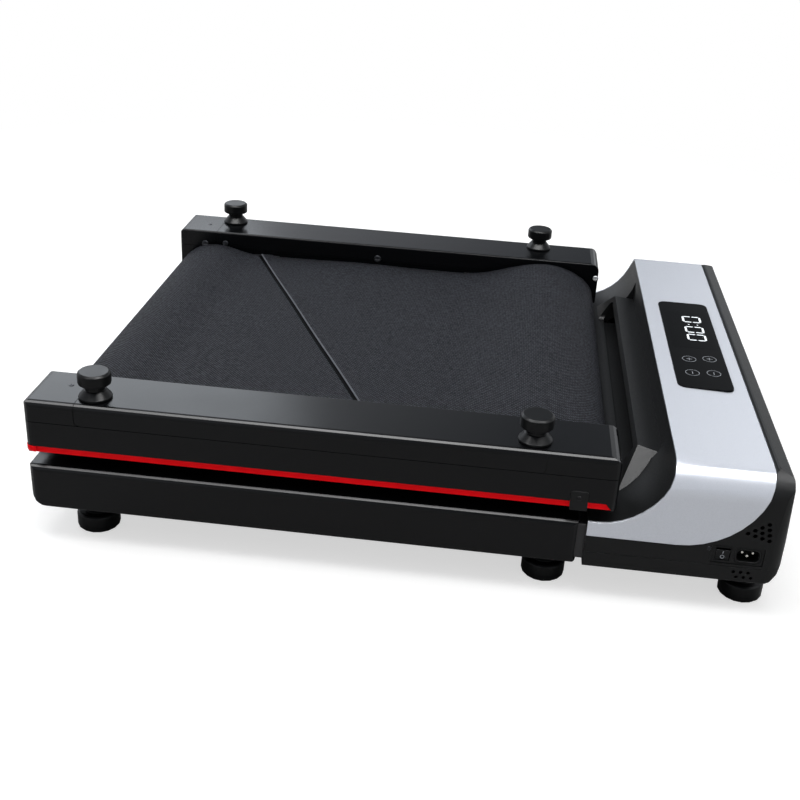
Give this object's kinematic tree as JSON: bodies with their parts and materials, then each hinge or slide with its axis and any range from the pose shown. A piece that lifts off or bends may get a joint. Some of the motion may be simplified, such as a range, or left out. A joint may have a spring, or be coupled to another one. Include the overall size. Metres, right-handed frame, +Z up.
{
  "type": "folding treadmill",
  "caption": "Folding walking treadmill stored folded: black side rails with a red stripe, slack charcoal belt, silver and black motor hood with display, switch and mains inlet, screw-in feet.",
  "frame": {"origin": "on the floor under the middle of the folded treadmill's outline", "axes": "+X from the fold to the motor hood, +Y to the walker's left, +Z up"},
  "size_m": [0.6686, 0.5528, 0.1639],
  "materials": {
    "gloss_black_plastic": "glossy",
    "satin_black_plastic": "satin",
    "silver_plastic": "metallic silver, glossy",
    "red_plastic": "glossy",
    "display_plastic": "polished black",
    "receiver_window": "polished dark red",
    "circuit_board": "green lacquer",
    "walking_belt": "fine diamond weave",
    "deck_board": "waxed fibreboard",
    "black_steel": "satin black paint",
    "bare_steel": "turned",
    "controller_aluminium": "cast",
    "rubber": "moulded"
  },
  "bodies": {
    "front_half": {"base_pan": "satin_black_plastic", "belt_entry_guard": "satin_black_plastic", "belt_front_fold": "walking_belt", "belt_front_return": "walking_belt", "belt_front_walk": "walking_belt", "display_board": "circuit_board", "display_panel": "display_plastic", "drive_belt": "rubber", "front_cross_bar_1": "black_steel", "front_cross_bar_2": "black_steel", "front_deck": "deck_board", "front_foot_fold_left": "rubber", "front_foot_fold_right": "rubber", "front_foot_hood_left": "rubber", "front_foot_hood_right": "rubber", "front_foot_middle_left": "rubber", "front_foot_middle_right": "rubber", "front_rail_left": "gloss_black_plastic", "front_rail_right": "gloss_black_plastic", "front_roller_axle": "bare_steel", "front_side_tube_left": "black_steel", "front_side_tube_right": "black_steel", "hinge_pin_left": "bare_steel", "hinge_pin_right": "bare_steel", "hood_shell": "gloss_black_plastic", "mains_plate": "satin_black_plastic", "motor_can": "black_steel", "motor_controller": "controller_aluminium", "power_inlet": "gloss_black_plastic", "remote_window": "receiver_window", "silver_band": "silver_plastic"},
    "rear_half": {"accent_stripe_left": "red_plastic", "accent_stripe_right": "red_plastic", "belt_rear_fold": "walking_belt", "belt_rear_return": "walking_belt", "belt_rear_walk": "walking_belt", "clip_tab_left": "satin_black_plastic", "clip_tab_right": "satin_black_plastic", "rear_cross_bar_1": "black_steel", "rear_cross_bar_2": "black_steel", "rear_deck": "deck_board", "rear_foot_end_left": "rubber", "rear_foot_end_right": "rubber", "rear_foot_fold_left": "rubber", "rear_foot_fold_right": "rubber", "rear_hinge_cap_left": "gloss_black_plastic", "rear_hinge_cap_right": "gloss_black_plastic", "rear_rail_cover_left": "gloss_black_plastic", "rear_rail_cover_right": "gloss_black_plastic", "rear_rail_skirt_left": "gloss_black_plastic", "rear_rail_skirt_right": "gloss_black_plastic", "rear_roller_axle": "bare_steel", "rear_side_tube_left": "black_steel", "rear_side_tube_right": "black_steel", "take_up_bolt_left": "bare_steel", "take_up_bolt_right": "bare_steel"},
    "front_roller": {"front_roller_tube": "bare_steel"},
    "rear_roller": {"rear_roller_tube": "bare_steel"},
    "motor_rotor": {"motor_shaft": "bare_steel"},
    "rocker": {"power_rocker": "satin_black_plastic"}
  },
  "joints": [
    {"name": "fold_hinge", "type": "hinge", "parent": "front_half", "child": "rear_half", "pos_m": [-0.32795, 0, 0.08195], "axis": [0, -1, 0], "range_deg": [0, 180]},
    {"name": "front_roller_spin", "type": "hinge", "parent": "front_half", "child": "front_roller", "pos_m": [0.20055, 0, 0.0524], "axis": [0, 1, 0], "continuous": true},
    {"name": "rear_roller_spin", "type": "hinge", "parent": "rear_half", "child": "rear_roller", "pos_m": [0.15005, 0, 0.1115], "axis": [0, 1, 0], "continuous": true},
    {"name": "motor_spin", "type": "hinge", "parent": "front_half", "child": "motor_rotor", "pos_m": [0.27955, 0, 0.08], "axis": [0, 1, 0], "continuous": true},
    {"name": "power_rocker_tilt", "type": "hinge", "parent": "front_half", "child": "rocker", "pos_m": [0.28205, -0.269, 0.0583], "axis": [-1, 0, 0], "range_deg": [0, 16]}
  ],
  "couplings": [
    {"joint": "rear_roller_spin", "follows": "front_roller_spin", "ratio": 1},
    {"joint": "motor_spin", "follows": "front_roller_spin", "ratio": 1.7222}
  ]
}
